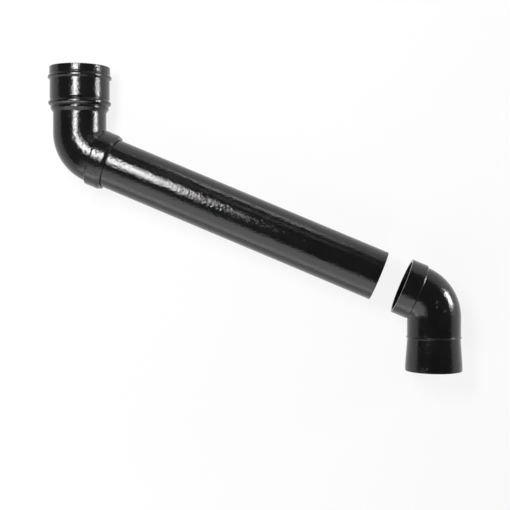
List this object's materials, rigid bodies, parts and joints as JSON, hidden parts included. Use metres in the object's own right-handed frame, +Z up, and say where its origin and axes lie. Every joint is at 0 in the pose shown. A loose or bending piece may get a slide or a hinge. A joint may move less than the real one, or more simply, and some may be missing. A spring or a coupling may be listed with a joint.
{
  "type": "downpipe offset",
  "caption": "Round downpipe offset: a ringed socket and bend on a straight pipe, with a loose bend and spigot that pushes onto the pipe's free end.",
  "frame": {"origin": "on the floor, under the middle of the outline", "axes": "+X runs along the pipe from the ringed socket's bend to the loose bend, to within the small lean of the lay; +Y is the side that the socket points to; +Z is up from the floor that the offset lies on"},
  "size_m": [0.7506, 0.2476, 0.0956],
  "materials": {
    "coated_casting": "gloss",
    "coated_pipe": "gloss"
  },
  "bodies": {
    "upper_assembly": {"upper_bend": "coated_casting", "offset_pipe": "coated_pipe"},
    "loose_bend": {"lower_bend": "coated_casting"}
  },
  "joints": [
    {"name": "bend_push_on", "type": "slide", "parent": "upper_assembly", "child": "loose_bend", "axis": [-1, 0, 0.0091], "range_m": [0, 0.0601]}
  ]
}
